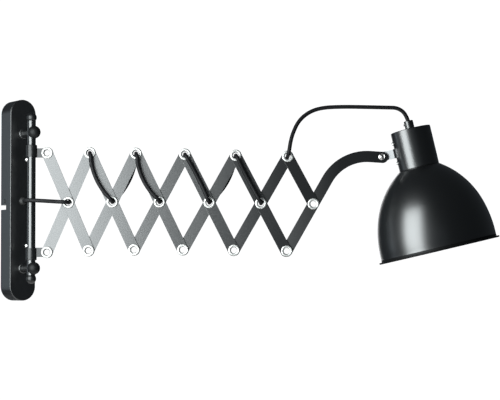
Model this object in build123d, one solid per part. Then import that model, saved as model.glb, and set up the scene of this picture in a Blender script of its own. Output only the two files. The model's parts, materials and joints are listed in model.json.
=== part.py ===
"""Accordion wall lamp: a scissor arm that swings on a wall rod and carries a metal bell shade.

Millimetres, +Z up. The wall is the plane Y = 0 and the room is on its -Y side; the origin is the
middle of the wall strip's back face. The arm is drawn in its own frame, with its origin on the rod's
axis: X runs out along the arm, Z is up, and -Y is the side the front bars are on. ARM places it.
"""

from build123d import *
from math import atan2, cos, degrees, radians, sin, tan
import os

# --- wall box -----------------------------------------------------------------------------------
COVER_HEIGHT = 305.0
COVER_RISE = 1.7  # its middle above the strip's
COVER_WIDTH = 43.0
COVER_DEPTH = 30.0
COVER_WALL = 1.5
COVER_EDGE = 1.2  # rounding round the front face
NOTCH_HEIGHT = 6.8  # cable notch in the left side
NOTCH_DEPTH = 16.0
NOTCH_Z = -9.4
STRIP_LENGTH = 190.0
STRIP_WIDTH = 24.0
STRIP_THICK = 2.0
WALL_HOLE_SPACING = 150.0
WALL_HOLE_R = 2.75
SIDE_SCREW_R = 1.6
SIDE_SCREW_HEAD_R = 2.8
SIDE_SCREW_HEAD = 1.4
SIDE_SCREW_Y = 11.0  # from the wall
SIDE_SCREW_SLOT = 0.6
EAR_WIDTH = 12.0
TERMINAL = (16.0, 12.0, 26.0)  # width, depth, height
TERMINAL_Z = 42.0
TERMINAL_BORE_R = 1.6  # for the wires
TERMINAL_SCREW_R = 1.4
FIT = 0.05  # radial running clearance of a pin or shaft
SEAT = 0.1  # between flat faces that lie on each other

# --- rod and its posts --------------------------------------------------------------------------
ROD_R = 6.5
ROD_STANDOFF = 25.6  # rod axis in front of the cover's face
ROD_ABOVE = 17.5  # rod beyond the upper and the lower post
ROD_BELOW = 10.5
FINIAL_R = 7.8
FINIAL_SINK = 2.6  # the rod's end inside the finial
SLEEVE_TRAVEL = 9.3  # between the upper sleeve and its ball nut, for folding
POST_R = 4.5
POST_FOOT_R = 7.5
POST_FOOT = 2.5
STUD_R = 2.5
BALL_R = 9.5
BALL_OFFSET = 8.4  # ball nut beyond the rod axis
POST_NUT_R = 5.5
POST_NUT = 4.0
STUD_END = 2.0  # a stud beyond its nut
STOP_HEAD_R = 3.6
STOP_HEAD = 3.4
STOP_SHANK_R = 2.0
STOP_ANGLE = 135.0  # from +X, so at the back of the rod

# --- scissor arm --------------------------------------------------------------------------------
ARM_SWING = 37.0  # the arm's angle below +X, seen from above
BAR_HALF = 81.3  # from a bar's middle pivot to its end pivots
BAR_WIDTH = 17.0
BAR_THICK = 1.5
BAR_EDGE = 0.3
LAYER_GAP = 0.2  # between the front and the back layer
CELLS = 5
FIRST_LEAN = 23.2  # first bars from the vertical, in degrees
RISING_STEP = 3.1  # how much the rising bars lean past each other, and how that eases off
RISING_EASE = 0.365
FALLING_STEP = 1.49
FALLING_EASE = 0.095
PIVOT_X = 23.9  # first pivots from the rod axis
PIVOT_DROP = 3.4  # first middle pivot below the strip's middle
EYELET_BORE_R = 4.5
EYELET_WALL = 0.6
EYELET_FLANGE_R = 8.7
EYELET_FLANGE = 0.9
PIVOT_CLEAR = 0.06
OPEN_CLEAR = 1.3  # slack of the lower pivots between cells, where the loops are open

# --- sleeve brackets ----------------------------------------------------------------------------
SLEEVE_R = 8.45
SLEEVE_OUTER = 11.9  # from the pivot away from the lattice
SLEEVE_INNER = 6.2  # from the pivot towards the lattice
SLEEVE_CHAMFER = 0.8
TAB_HEIGHT = 14.0

# --- end arm and tilt joint ---------------------------------------------------------------------
ARM_BEYOND = 4.1  # the bend's corner, further up than a bar's end would be
ARM_RUN = 60.7  # from the corner to the tilt screw
ARM_BEND_R = 68.5
TIP_DROOP = 2.95
ARM_PAST_SCREW = 1.5  # the end eye's centre beyond and below the tilt screw
ARM_UNDER_SCREW = 1.0
TILT_R = 2.5
TILT_HEAD_R = 5.1
TILT_HEAD = 3.2
TILT_NUT_R = 5.0
TILT_NUT = 4.0
TILT_END = 2.0  # the screw beyond its nut
CROSS_SLOT = (5.6, 1.2, 1.3)  # length, width, depth
EAR_HEIGHT = 13.7
EAR_THICK = 1.5

# --- cap, holder and shade ----------------------------------------------------------------------
SHADE_TILT = 13.3
CAP_R = 30.3
CAP_LENGTH = 59.1
CAP_WALL = 1.2
CAP_EDGE = 0.8
PIVOT_REACH = 51.5  # tilt screw from the cap's axis
PIVOT_LEVEL = 28.9  # tilt screw above the cap's mouth
ROOT_PROUD = 2.6  # ear root outside the cap
ROOT_WIDTH = 7.0
SADDLE_HEIGHT = 40.0
SADDLE_THICK = 1.5
SADDLE_WIDTH = 16.0
SADDLE_SCREW_PITCH = 29.8
SMALL_SCREW_R = 1.5
SMALL_HEAD_R = 2.6
SMALL_HEAD = 2.0
HOLDER_R = 19.5
HOLDER_BORE_R = 13.5
HOLDER_BORE = 26.0
HOLDER_BELOW = 20.0  # holder's mouth below the shade's top plate
HOLDER_ABOVE = 36.0
HOLDER_SHOULDER_R = 23.0
HOLDER_SHOULDER = 3.0
HOLDER_FLOOR = 3.0
RING_R = 24.0
RING_HEIGHT = 8.0
NIPPLE_R = 5.0
NIPPLE_BORE_R = 3.3
GLAND_R = 7.0
GLAND_HEIGHT = 13.5
GLAND_SEAT = 6.0  # how far the nipple enters the gland
GLAND_EDGE = 1.2
GRUB_LEVEL = 8.1  # grub screw above the gland's foot
GRUB_PROUD = 1.4
SHADE_WALL = 1.0
SHADE_NECK_R = 30.6
SHADE_MID_DROP = 30.3  # outer skin: distance below the cap's mouth, and radius there
SHADE_MID_R = 61.8
SHADE_SHOULDER_DROP = 65.4
SHADE_SHOULDER_R = 79.6
SHADE_LOW_DROP = 123.0
SHADE_LOW_R = 87.8
SHADE_LENGTH = 128.7
RIM_R = 92.0
RIM_EDGE = 1.8

# --- cord ---------------------------------------------------------------------------------------
CORD_R = 3.0
CORD_GAP = 0.15  # between two lengths of cord that meet in an eyelet
CORD_TURN = 0.45  # share of the shorter run that an arc may take
EYELET_EXIT = 5.7  # where the cord starts to turn, in front of the lattice's middle plane
EYELET_CREST = 11.2  # how far it stands out after that turn
EYELET_TURN = 5.6  # and how far along it has come
SHOULDER = 16.5  # from there to here it goes over to its bow
SHOULDER_BOW = 0.62
SHOULDER_CREST = 0.7
PLATE_GLAND_R = 5.2
PLATE_GLAND = 5.0
FRONT_LOOPS = {1: (-7.7, 10.2), 2: (-8.2, 10.0), 3: (1.4, 6.2), 4: (-0.8, 6.2)}  # bow, height
BACK_LOOPS = {0: (0.0, 6.2), 1: (8.6, 6.0), 2: (0.0, 6.2), 3: (8.6, 6.0), 4: (0.0, 6.2)}
INLET_STRAIGHT = 5.6  # straight out of the wall box
INLET_EASE = 1.0
INLET_ROUTE = [(-10.9, 0.5), (-6.2, 10.6), (8.0, 13.0), (28.0, 12.0)]  # x and forward, round the rod
ARC_STRAIGHT = 9.0  # above the cap's gland
ARC_INSIDE = 6.0  # and into it
ARC_ROUTE = [  # x, z and forward of the last upper pivot
    (1.6, 5.6, 11.2),
    (3.6, 19.5, 10.2),
    (7.2, 33.8, 7.5),
    (16.3, 53.4, 4.5),
    (32.4, 67.2, 2.0),
    (53.0, 73.8, 0.0),
    (84.6, 75.1, -1.5),
    (116.0, 74.7, -2.2),
    (148.2, 74.0, -2.5),
    (166.6, 73.6, -2.6),
]

# --- worked out from the sizes above --------------------------------------------------------------
FACE_Y = -COVER_DEPTH
ROD_Y = FACE_Y - ROD_STANDOFF
STACK = LAYER_GAP / 2 + BAR_THICK  # from the lattice's middle plane to a bar's outer face
EYELET_R = EYELET_BORE_R + EYELET_WALL
EYELET_HALF = STACK + SEAT + EYELET_FLANGE
EAR_Y = STACK + LAYER_GAP + EAR_THICK / 2  # middle of the tilt ear, behind the lattice
ARM = Location((0, ROD_Y, 0), (0, 0, -ARM_SWING))

nodes = {}


def add(name, *solids):
    """Store the solids of one node."""
    nodes[name] = Compound(children=list(solids)) if len(solids) > 1 else solids[0]


def add_on_arm(name, *solids):
    """Store solids that were drawn in the arm's frame."""
    add(name, *[ARM * s for s in solids])


def lean(angle, length, down=False):
    """The step along a bar that leans from the vertical, going up or down."""
    turn = radians(angle)
    return Vector(length * sin(turn), 0, -length * cos(turn) if down else length * cos(turn))


def lathe(*profile):
    """Turn a closed (radius, height) outline about Z."""
    outline = Polyline(*[(r, 0, z) for r, z in profile], close=True)
    return revolve(make_face(outline), Axis.Z)


def tube(points, radius=CORD_R):
    """A cord along points, its corners rounded as far as its runs allow; gives the smallest arc too."""
    points = [Vector(p) for p in points]
    radii = []
    for before, here, after in zip(points, points[1:], points[2:]):
        turn = radians((here - before).get_angle(after - here))
        run = min((here - before).length, (after - here).length)
        radii.append(CORD_TURN * run / tan(turn / 2))
    path = FilletPolyline(*points, radius=radii).wire()
    section = Plane(origin=path @ 0, z_dir=path % 0) * Circle(radius)
    return sweep(section, path=path), path.length, min(radii)


# --- where the pivots are, in the arm's frame -----------------------------------------------------
rising_lean = [FIRST_LEAN + i * RISING_STEP - i * i * RISING_EASE for i in range(CELLS + 1)]
falling_lean = [FIRST_LEAN + i * FALLING_STEP - i * i * FALLING_EASE for i in range(CELLS + 1)]
lower = [Vector(PIVOT_X, 0, -PIVOT_DROP) - lean(FIRST_LEAN, BAR_HALF)]
lower[0].X = PIVOT_X
middle = [lower[0] + lean(rising_lean[0], BAR_HALF)]
upper = [middle[0] - lean(falling_lean[0], BAR_HALF, down=True)]
for i in range(1, CELLS + 1):
    upper.append(middle[-1] + lean(rising_lean[i - 1], BAR_HALF))
    middle.append(upper[-1] + lean(falling_lean[i], BAR_HALF, down=True))
    lower.append(middle[-1] - lean(rising_lean[i], BAR_HALF))
corner = middle[-1] + lean(rising_lean[-1], BAR_HALF + ARM_BEYOND)
tip = corner + Vector(ARM_RUN * cos(radians(TIP_DROOP)), 0, -ARM_RUN * sin(radians(TIP_DROOP)))

# The upper post leaves the sleeve its travel, and the lower one mirrors it.
POST_Z = upper[0].Z + SLEEVE_OUTER + SLEEVE_TRAVEL + BALL_R
ROD_TOP = POST_Z + ROD_ABOVE
ROD_BOTTOM = -POST_Z - ROD_BELOW

# The shade's frame: origin in the middle of the cap's mouth, +Z up the cap's axis.
shade_down = Vector(sin(radians(SHADE_TILT)), 0, -cos(radians(SHADE_TILT)))
shade_out = Vector(cos(radians(SHADE_TILT)), 0, sin(radians(SHADE_TILT)))
mouth = tip + shade_out * PIVOT_REACH + shade_down * PIVOT_LEVEL + Vector(0, EAR_Y, 0)
SHADE = ARM * Plane(origin=mouth, x_dir=shade_out, z_dir=-shade_down).location


def on_shade(name, *solids):
    """Store solids that were drawn in the shade's frame."""
    add(name, *[SHADE * s for s in solids])


# --- wall box -----------------------------------------------------------------------------------
def stadium(height, width):
    """The wall box's outline, standing in the XZ plane."""
    return SlotCenterToCenter(height - width, width, rotation=90)


def across(x, y, z, radius, length):
    """A cylinder along X, centred on a point."""
    return Pos(x, y, z) * Rot(0, 90, 0) * Cylinder(radius, length)


def outward(x, y, z, radius, length):
    """A cylinder that starts at a point and runs out from the wall."""
    return Pos(x, y - length / 2, z) * Rot(90, 0, 0) * Cylinder(radius, length)


def wall_box():
    shell = extrude(Plane.XZ * stadium(COVER_HEIGHT, COVER_WIDTH), COVER_DEPTH)
    shell = fillet(shell.faces().sort_by(Axis.Y)[0].edges(), COVER_EDGE)
    hollow = stadium(COVER_HEIGHT - 2 * COVER_WALL, COVER_WIDTH - 2 * COVER_WALL)
    shell -= extrude(Plane.XZ * hollow, COVER_DEPTH - COVER_WALL)
    shell = Pos(0, 0, COVER_RISE) * shell
    for z in (-POST_Z, POST_Z):
        shell -= outward(0, 0, z, STUD_R + FIT, 2 * COVER_DEPTH)
    shell -= outward(0, 0, 0, CORD_R + 2 * COVER_WALL, 2 * COVER_DEPTH)
    shell -= Pos(-COVER_WIDTH / 2, 0, NOTCH_Z) * Box(4 * COVER_WALL, 2 * NOTCH_DEPTH, NOTCH_HEIGHT)
    shell -= across(0, -SIDE_SCREW_Y, 0, SIDE_SCREW_R + FIT, 2 * COVER_WIDTH)
    add("wall_cover", shell)

    strip = extrude(Plane.XZ * stadium(STRIP_LENGTH, STRIP_WIDTH), STRIP_THICK)
    reach = COVER_WIDTH / 2 - COVER_WALL - SEAT
    bridge = Box(2 * reach, STRIP_THICK, EAR_WIDTH)
    strip += Pos(0, -STRIP_THICK / 2, 0) * bridge
    ear_depth = SIDE_SCREW_Y + EAR_WIDTH / 2
    for side in (-1, 1):
        ear = Box(STRIP_THICK, ear_depth, EAR_WIDTH)
        strip += Pos(side * (reach - STRIP_THICK / 2), -ear_depth / 2, 0) * ear
    strip -= across(0, -SIDE_SCREW_Y, 0, SIDE_SCREW_R, 2 * COVER_WIDTH)
    for z in (-WALL_HOLE_SPACING / 2, WALL_HOLE_SPACING / 2):
        strip -= outward(0, STRIP_THICK, z, WALL_HOLE_R, 4 * STRIP_THICK)
    add("wall_strip", strip)

    screws = []
    for side in (-1, 1):
        shank = COVER_WALL + 2 * STRIP_THICK
        inner = COVER_WIDTH / 2 - shank
        screw = across(side * (inner + shank / 2), -SIDE_SCREW_Y, 0, SIDE_SCREW_R, shank)
        head_x = side * (COVER_WIDTH / 2 + SIDE_SCREW_HEAD / 2)
        screw += across(head_x, -SIDE_SCREW_Y, 0, SIDE_SCREW_HEAD_R, SIDE_SCREW_HEAD)
        slot_x = side * (COVER_WIDTH / 2 + SIDE_SCREW_HEAD)
        screw -= Pos(slot_x, -SIDE_SCREW_Y, 0) * Box(SIDE_SCREW_HEAD, 6 * SIDE_SCREW_R, SIDE_SCREW_SLOT)
        screws.append(screw)
    add("side_screws", *screws)

    width, depth, height = TERMINAL
    block = Pos(0, -STRIP_THICK - depth / 2, TERMINAL_Z) * Box(width, depth, height)
    for x in (-width / 4, width / 4):
        block -= Pos(x, -STRIP_THICK - depth / 2, TERMINAL_Z) * Cylinder(TERMINAL_BORE_R, 2 * height)
        for z in (-height / 4, height / 4):
            block -= outward(x, -STRIP_THICK - depth / 2, TERMINAL_Z + z, TERMINAL_SCREW_R, depth)
    add("terminal_block", block)


# --- rod, posts, balls and stops ------------------------------------------------------------------
def rod_and_posts():
    rod = Pos(0, ROD_Y, (ROD_TOP + ROD_BOTTOM) / 2) * Cylinder(ROD_R, ROD_TOP - ROD_BOTTOM)
    stop = Location((0, ROD_Y, 0), (0, 0, STOP_ANGLE))
    posts, nuts, balls, stops, finials = [], [], [], [], []
    for side in (-1, 1):
        z = side * POST_Z
        stud_start = FACE_Y + COVER_WALL + POST_NUT + STUD_END
        stud_length = stud_start - ROD_Y + BALL_OFFSET
        post = outward(0, FACE_Y, z, POST_FOOT_R, POST_FOOT)
        post = fillet(post.faces().sort_by(Axis.Y)[0].edges(), POST_FOOT / 2)
        post += outward(0, FACE_Y, z, POST_R, ROD_STANDOFF - ROD_R / 2)
        saddle = Pos(0, ROD_Y, z) * Cylinder(ROD_R, 4 * POST_R)
        posts.append(post - saddle + outward(0, stud_start, z, STUD_R, stud_length))
        nut_y = FACE_Y + COVER_WALL + POST_NUT
        nut = extrude(Plane.XZ * RegularPolygon(POST_NUT_R, 6), POST_NUT)
        nuts.append(Pos(0, nut_y, z) * (nut - outward(0, 1, 0, STUD_R, 2 * POST_NUT)))
        ball = Pos(0, ROD_Y - BALL_OFFSET, z) * Sphere(BALL_R)
        bore = outward(0, ROD_Y + BALL_R, z, STUD_R, BALL_R + BALL_OFFSET)
        seat = Pos(0, ROD_Y, z) * Cylinder(ROD_R, 4 * BALL_R)
        balls.append(ball - seat - bore)
        rod -= outward(0, ROD_Y + 2 * ROD_R, z, STUD_R, 4 * ROD_R)

        end = ROD_TOP if side > 0 else ROD_BOTTOM
        centre = end + side * (FINIAL_R - FINIAL_SINK)
        finial = Pos(0, ROD_Y, centre) * Sphere(FINIAL_R)
        finials.append(finial - Pos(0, ROD_Y, 0) * Cylinder(ROD_R, 2 * abs(end)))

        pivot = upper[0].Z if side > 0 else lower[0].Z
        height = pivot - side * (SLEEVE_INNER + SEAT + STOP_HEAD_R)
        reach = ROD_R - 3 * SEAT
        shank = Pos(reach / 2 + STOP_SHANK_R, 0, height) * Rot(0, 90, 0) * Cylinder(STOP_SHANK_R, reach)
        head = Pos(ROD_R, 0, height) * Rot(0, 90, 0) * Cylinder(STOP_HEAD_R, 2 * STOP_HEAD)
        head = fillet(head.edges().group_by(Axis.X)[-1], 0.8 * STOP_HEAD_R)
        head -= Pos(0, 0, height) * Cylinder(ROD_R, 4 * STOP_HEAD_R)
        rod -= stop * shank
        stops.append(stop * (head + shank))
    add("rod_posts", *posts)
    add("post_nuts", *nuts)
    add("ball_nuts", *balls)
    add("wall_rod", rod)
    add("rod_finials", *finials)
    add("stop_screws", *stops)


# --- scissor arm ----------------------------------------------------------------------------------
def plate(face, front):
    """A plate of the front or the back layer, from a face drawn in X and Z."""
    start = LAYER_GAP / 2 if front else -STACK
    return extrude(Plane.XZ.offset(start) * face, BAR_THICK)


def softened(solid, front):
    """Round the long edges of a plate's outer face."""
    ordered = solid.faces().sort_by(Axis.Y)
    face = ordered[0] if front else ordered[-1]
    return fillet(face.outer_wire().edges(), BAR_EDGE)


def hole(solid, at, radius):
    """Drill a plate through at a pivot."""
    return solid - Pos(at) * Rot(90, 0, 0) * Cylinder(radius, 8 * STACK)


def bar(first, last, front):
    """A flat bar with round ends between two pivots."""
    step = last - first
    angle = degrees(atan2(step.Z, step.X))
    centre = (first + last) * 0.5
    slot = Pos(centre.X, centre.Z) * Rot(0, 0, angle) * SlotCenterToCenter(step.length, BAR_WIDTH)
    return softened(plate(slot, front), front)


def eyelet(at):
    """A hollow rivet with a rolled flange on each side of the lattice."""
    half = EYELET_HALF
    inner = half - EYELET_FLANGE
    body = lathe(
        (EYELET_BORE_R, -half),
        (EYELET_FLANGE_R, -half),
        (EYELET_FLANGE_R, -inner),
        (EYELET_R, -inner),
        (EYELET_R, inner),
        (EYELET_FLANGE_R, inner),
        (EYELET_FLANGE_R, half),
        (EYELET_BORE_R, half),
    )
    ends = body.edges().filter_by(GeomType.CIRCLE).group_by(Axis.Z)
    body = fillet(ends[0] + ends[-1], 0.4 * EYELET_FLANGE)
    return Pos(at) * Rot(90, 0, 0) * body


def sleeve(pivot, side):
    """A tube on the rod, longer on the side away from the lattice."""
    length = SLEEVE_OUTER + SLEEVE_INNER
    middle_z = pivot.Z + side * (SLEEVE_OUTER - SLEEVE_INNER) / 2
    body = Pos(0, 0, middle_z) * Cylinder(SLEEVE_R, length)
    outer = body.faces().sort_by(Axis.Z)[-1 if side > 0 else 0]
    body = chamfer(outer.edges(), SLEEVE_CHAMFER)
    tab = Pos(pivot.X / 2, pivot.Z) * SlotCenterToCenter(pivot.X, TAB_HEIGHT)
    body += softened(plate(tab, side < 0), side < 0)
    body -= Pos(0, 0, pivot.Z) * Cylinder(ROD_R + FIT, 4 * length)
    return hole(body, pivot, EYELET_R + PIVOT_CLEAR)


def lattice():
    pin = EYELET_R + PIVOT_CLEAR
    slack = EYELET_R + OPEN_CLEAR
    add_on_arm("lower_bracket", sleeve(lower[0], -1))
    add_on_arm("upper_bracket", sleeve(upper[0], 1))
    for i in range(CELLS + 1):
        reach = (lower[i + 1] - middle[i]).length if i < CELLS else 0
        end = middle[i] + lean(falling_lean[i], reach, down=True)
        falling = bar(upper[i], end, front=True)
        falling = hole(hole(falling, upper[i], pin), middle[i], pin)
        if i < CELLS:
            falling = hole(falling, lower[i + 1], slack)
        add_on_arm(f"falling_bar_{i}", falling)
        add_on_arm(f"falling_eyelets_{i}", eyelet(upper[i]), eyelet(middle[i]))
        add_on_arm(f"rising_eyelet_{i}", eyelet(lower[i]))
        if i < CELLS:
            top = lower[i] + lean(rising_lean[i], 2 * BAR_HALF)
            rising = bar(lower[i], top, front=False)
            for at in (lower[i], middle[i], top):
                rising = hole(rising, at, pin)
            add_on_arm(f"rising_bar_{i}", rising)


def end_arm():
    """The last rising bar runs on past its middle pivot and bends out to the shade."""
    end = tip + Vector(ARM_PAST_SCREW, 0, -ARM_UNDER_SCREW)
    flat = [(p.X, p.Z) for p in (lower[-1], corner, end)]
    route = FilletPolyline(*flat, radius=ARM_BEND_R).wire()
    arm = softened(plate(SlotArc(route, BAR_WIDTH), False), False)
    for at in (lower[-1], middle[-1]):
        arm = hole(arm, at, EYELET_R + PIVOT_CLEAR)
    add_on_arm("end_arm", hole(arm, tip, TILT_R + FIT))


# --- tilt joint, cap, holder and shade --------------------------------------------------------------
def tilt_joint():
    """Drawn in the shade's frame: the tilt screw is at (-PIVOT_REACH, 0, PIVOT_LEVEL)."""
    axis = Vector(-PIVOT_REACH, 0, PIVOT_LEVEL)
    root_x = -CAP_R - ROOT_PROUD
    length = PIVOT_REACH + root_x
    lobe = Pos(axis.X, axis.Z) * Circle(EAR_HEIGHT / 2)
    blade = lobe + Pos(axis.X + length / 2, axis.Z) * Rectangle(length, EAR_HEIGHT)
    ear = extrude(Plane.XZ.offset(-EAR_THICK / 2) * blade, EAR_THICK)
    on_shade("tilt_ear", hole(ear, axis, TILT_R + FIT))

    screw_front = EAR_Y + LAYER_GAP / 2  # front face of the end arm, from the ear's middle
    head = outward(axis.X, -screw_front + LAYER_GAP, axis.Z, TILT_HEAD_R, TILT_HEAD)
    head = fillet(head.faces().sort_by(Axis.Y)[0].edges(), 0.6 * TILT_HEAD)
    tail = EAR_THICK / 2 + TILT_NUT + TILT_END
    shank = outward(axis.X, tail, axis.Z, TILT_R, tail + screw_front - LAYER_GAP)
    slot_length, slot_width, slot_depth = CROSS_SLOT
    cut = Box(slot_length, 2 * slot_depth, slot_width) + Box(slot_width, 2 * slot_depth, slot_length)
    face = -screw_front + LAYER_GAP - TILT_HEAD
    on_shade("tilt_screw", head + shank - Pos(axis.X, face, axis.Z) * Rot(0, 30, 0) * cut)
    nut_back = EAR_THICK / 2 + TILT_NUT
    nut = extrude(Plane.XZ.offset(-nut_back) * Pos(axis.X, axis.Z) * RegularPolygon(TILT_NUT_R, 6), TILT_NUT)
    on_shade("tilt_nut", hole(nut, axis, TILT_R))

    inside = CAP_R - CAP_WALL
    shell = Cylinder(inside, SADDLE_HEIGHT) - Cylinder(inside - SADDLE_THICK, 2 * SADDLE_HEIGHT)
    keep = Pos(-inside, 0, 0) * Box(inside, SADDLE_WIDTH, SADDLE_HEIGHT)
    saddle = Pos(0, 0, PIVOT_LEVEL) * (shell & keep)
    root_length = ROOT_PROUD + CAP_R - inside + SADDLE_THICK / 2
    root = Box(root_length, ROOT_WIDTH, EAR_HEIGHT)
    saddle += Pos(root_x + root_length / 2, 0, PIVOT_LEVEL) * root
    screws = []
    for side in (-1, 1):
        z = PIVOT_LEVEL + side * SADDLE_SCREW_PITCH / 2
        shank = CAP_WALL + 2 * SADDLE_THICK
        screw = across(-CAP_R + shank / 2 - SMALL_HEAD / 2, 0, z, SMALL_SCREW_R, shank)
        saddle -= across(-CAP_R, 0, z, SMALL_SCREW_R, 8 * SADDLE_THICK)
        dome = across(-CAP_R - SMALL_HEAD / 2, 0, z, SMALL_HEAD_R, SMALL_HEAD)
        dome = fillet(dome.faces().sort_by(Axis.X)[0].edges(), 0.8 * SMALL_HEAD)
        screws.append(screw + dome)
    on_shade("cap_saddle", saddle)

    grub_z = CAP_LENGTH + GRUB_LEVEL
    grub_length = GLAND_R - NIPPLE_BORE_R + GRUB_PROUD
    grub = across(-GLAND_R - GRUB_PROUD + grub_length / 2, 0, grub_z, SMALL_SCREW_R, grub_length)
    on_shade("shade_screws", *screws, grub)


def cap_and_gland():
    cap = Pos(0, 0, CAP_LENGTH / 2) * Cylinder(CAP_R, CAP_LENGTH)
    cap = fillet(cap.faces().sort_by(Axis.Z)[-1].edges(), CAP_EDGE)
    inner_length = CAP_LENGTH - CAP_WALL
    cap -= Pos(0, 0, inner_length / 2) * Cylinder(CAP_R - CAP_WALL, inner_length)
    cap -= Pos(0, 0, CAP_LENGTH) * Cylinder(NIPPLE_R + FIT, 8 * CAP_WALL)
    window = Box(CAP_R, ROOT_WIDTH + 2 * SEAT, EAR_HEIGHT + 2 * SEAT)
    cap -= Pos(-CAP_R, 0, PIVOT_LEVEL) * window
    for side in (-1, 1):
        z = PIVOT_LEVEL + side * SADDLE_SCREW_PITCH / 2
        cap -= across(-CAP_R, 0, z, SMALL_SCREW_R + FIT, 8 * CAP_WALL)
    on_shade("cap", cap)

    gland = Pos(0, 0, CAP_LENGTH + GLAND_HEIGHT / 2) * Cylinder(GLAND_R, GLAND_HEIGHT)
    gland = fillet(gland.faces().sort_by(Axis.Z)[-1].edges(), GLAND_EDGE)
    gland -= Pos(0, 0, CAP_LENGTH) * Cylinder(NIPPLE_BORE_R, 4 * GLAND_HEIGHT)
    gland -= Pos(0, 0, CAP_LENGTH) * Cylinder(NIPPLE_R, 2 * GLAND_SEAT)
    grub_z = CAP_LENGTH + GRUB_LEVEL
    gland -= across(-GLAND_R, 0, grub_z, SMALL_SCREW_R, 2 * (GLAND_R - NIPPLE_BORE_R))
    on_shade("cord_gland", gland)

    bottom = HOLDER_ABOVE - 3 * SHADE_WALL
    height = CAP_LENGTH + GLAND_SEAT - bottom
    nipple = Cylinder(NIPPLE_R, height) - Cylinder(NIPPLE_BORE_R, 2 * height)
    on_shade("nipple", Pos(0, 0, bottom + height / 2) * nipple)


def holder_and_shade():
    neck = HOLDER_R - FIT
    holder = lathe(
        (0, HOLDER_ABOVE),
        (0.6 * HOLDER_R, HOLDER_ABOVE),
        (neck, 0.6 * HOLDER_ABOVE),
        (neck, HOLDER_SHOULDER),
        (HOLDER_SHOULDER_R, HOLDER_SHOULDER),
        (HOLDER_SHOULDER_R, 0),
        (neck, 0),
        (neck, -HOLDER_BELOW),
        (HOLDER_BORE_R, -HOLDER_BELOW),
        (HOLDER_BORE_R, HOLDER_BORE - HOLDER_BELOW),
        (0, HOLDER_BORE - HOLDER_BELOW),
    )
    holder -= Pos(0, 0, HOLDER_ABOVE) * Cylinder(NIPPLE_R, 6 * SHADE_WALL)
    cord_way = HOLDER_ABOVE - HOLDER_BORE + HOLDER_BELOW - HOLDER_FLOOR
    holder -= Pos(0, 0, HOLDER_ABOVE) * Cylinder(CORD_R, 2 * cord_way)
    on_shade("lamp_holder", holder)
    ring = Cylinder(RING_R, RING_HEIGHT) - Cylinder(HOLDER_R, 2 * RING_HEIGHT)
    on_shade("shade_ring", Pos(0, 0, -SHADE_WALL - RING_HEIGHT / 2) * ring)

    neck_point = (SHADE_NECK_R, 0, 0)
    mid = (SHADE_MID_R, 0, -SHADE_MID_DROP)
    shoulder = (SHADE_SHOULDER_R, 0, -SHADE_SHOULDER_DROP)
    low = (SHADE_LOW_R, 0, -SHADE_LOW_DROP)
    dome = ThreePointArc(neck_point, mid, shoulder)
    skirt = TangentArc(shoulder, low, tangent=dome % 1)
    inner = [inset(dome, SHADE_WALL), inset(skirt, SHADE_WALL)]
    top_in = inner[0] @ 0
    low_in = inner[1] @ 1
    close_top = Polyline(top_in, (top_in.X, 0, -SHADE_WALL), (HOLDER_R, 0, -SHADE_WALL), (HOLDER_R, 0, 0))
    close_top = close_top + Line((HOLDER_R, 0, 0), neck_point)
    rim = Polyline(
        low,
        (SHADE_LOW_R, 0, -SHADE_LENGTH + RIM_EDGE),
        (RIM_R, 0, -SHADE_LENGTH + RIM_EDGE),
        (RIM_R, 0, -SHADE_LENGTH),
        (low_in.X, 0, -SHADE_LENGTH),
        low_in,
    )
    outline = Curve() + [dome, skirt, rim, *inner, close_top]
    on_shade("shade", revolve(make_face(outline), Axis.Z))


def inset(arc, wall):
    """The same arc, moved towards its centre by the wall's thickness."""
    centre = arc.arc_center
    points = [p + (centre - p).normalized() * wall for p in (arc @ 0, arc @ 0.5, arc @ 1)]
    return ThreePointArc(*points)


# --- cord -----------------------------------------------------------------------------------------
def strand(first, last, bow, height, front):
    """One length of cord beside a bar: out of one eyelet, along the bar and into the next."""
    along = (last - first).normalized()
    aside = Vector(abs(along.Z), 0, -along.X * along.Z / abs(along.Z))
    out = Vector(0, -1 if front else 1, 0)
    crest = SHOULDER_CREST * EYELET_CREST + (1 - SHOULDER_CREST) * height
    half = [
        (0, 0, CORD_GAP),
        (0, 0, EYELET_EXIT),
        (EYELET_TURN, 0, EYELET_CREST),
        (SHOULDER, SHOULDER_BOW * bow, crest),
    ]
    start = [first + along * step + aside * side + out * rise for step, side, rise in half]
    end = [last - along * step + aside * side + out * rise for step, side, rise in half]
    return start + [(first + last) * 0.5 + aside * bow + out * height] + end[::-1]


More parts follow.
